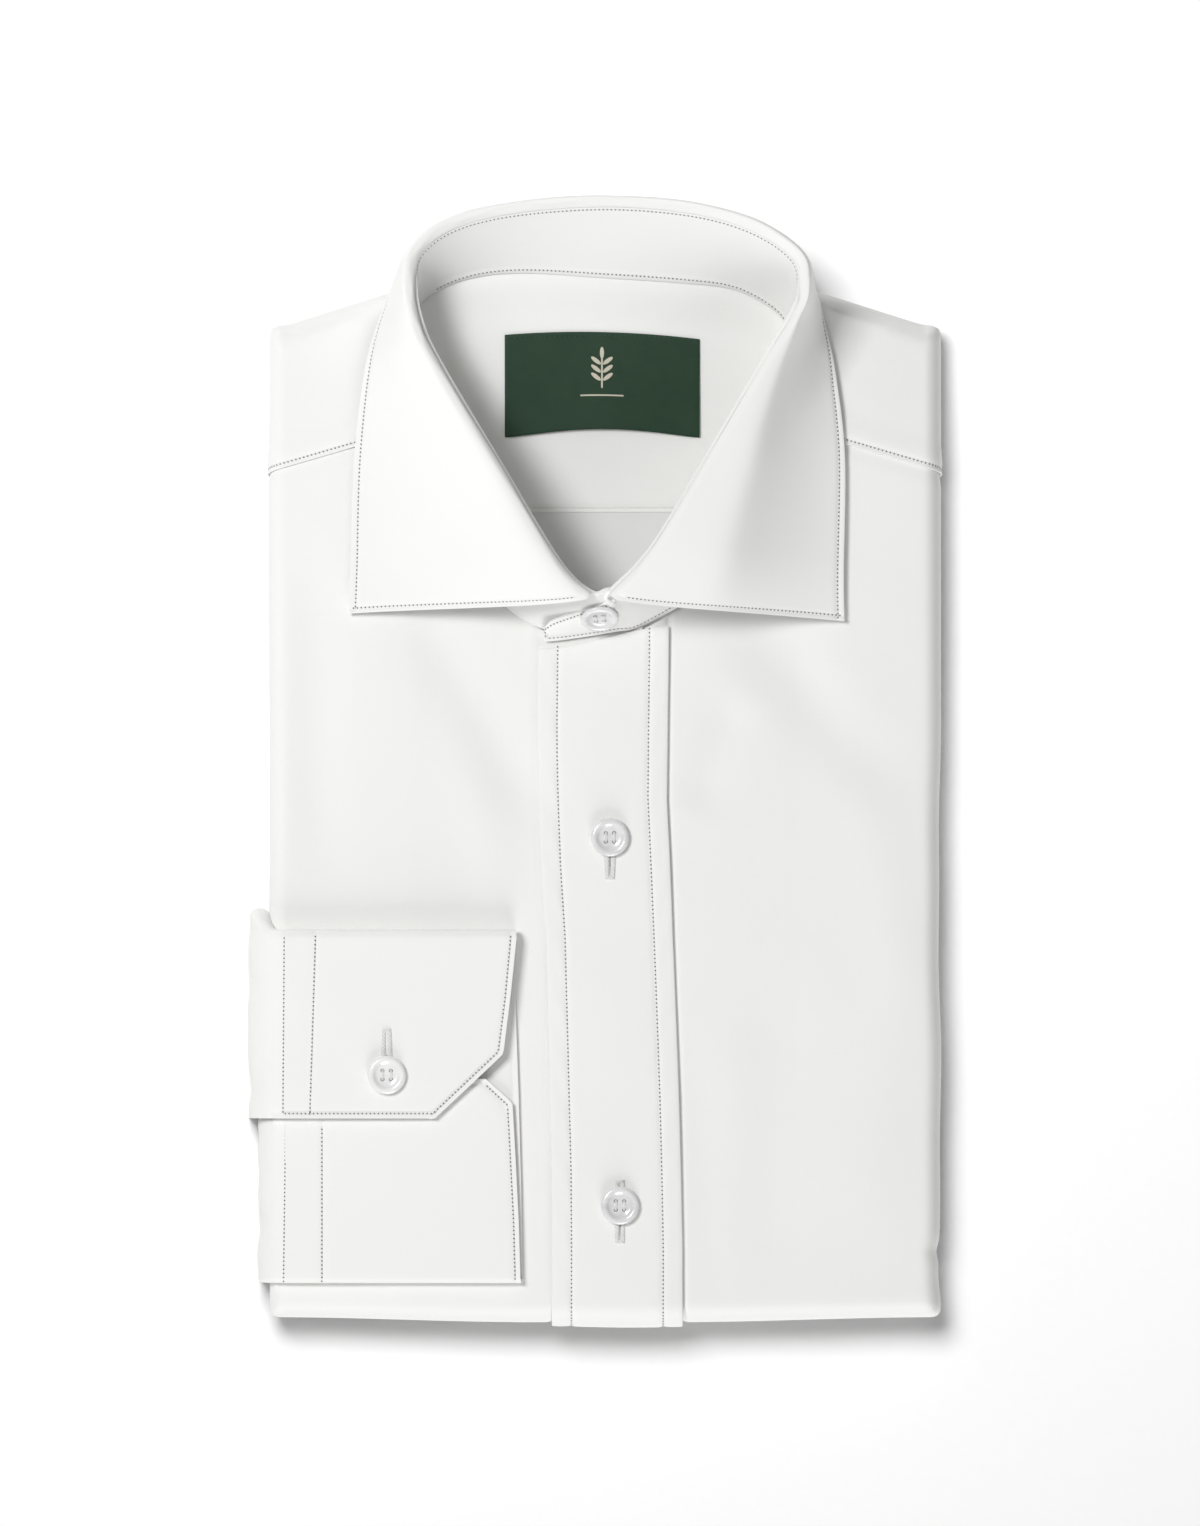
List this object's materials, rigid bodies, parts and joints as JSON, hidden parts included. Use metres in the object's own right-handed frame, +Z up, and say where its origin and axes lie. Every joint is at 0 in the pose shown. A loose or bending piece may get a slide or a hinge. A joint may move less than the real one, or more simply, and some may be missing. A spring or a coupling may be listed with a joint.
{
  "type": "folded dress shirt",
  "caption": "Dress shirt folded flat, front up, with a buttoned spread collar, a button placket, a woven neck label and one cuff brought round to the front.",
  "frame": {"origin": "on the flat underside, on the middle line of the fold, level with the middle of its length", "axes": "+X to the wearer's left, +Y from the hem fold to the collar, +Z up out of the shirt front"},
  "size_m": [0.221, 0.3618, 0.0478],
  "materials": {
    "shirt_cloth": "smooth pressed cotton, fine plain weave",
    "hidden_cloth": "the same cotton, folded in layers",
    "label_satin": "woven satin, slight sheen",
    "button_shell": "polished, faintly pearly"
  },
  "bodies": {
    "root": {"front_right": "shirt_cloth", "front_left": "shirt_cloth", "placket": "shirt_cloth", "yoke": "shirt_cloth", "inner_yoke": "shirt_cloth", "collar_stand": "shirt_cloth", "collar_fall": "shirt_cloth", "sleeve": "shirt_cloth", "cuff": "shirt_cloth", "folded_layers": "hidden_cloth", "label": "label_satin", "neck_button": "button_shell", "front_button_1": "button_shell", "front_button_2": "button_shell", "cuff_button": "button_shell"}
  },
  "joints": []
}
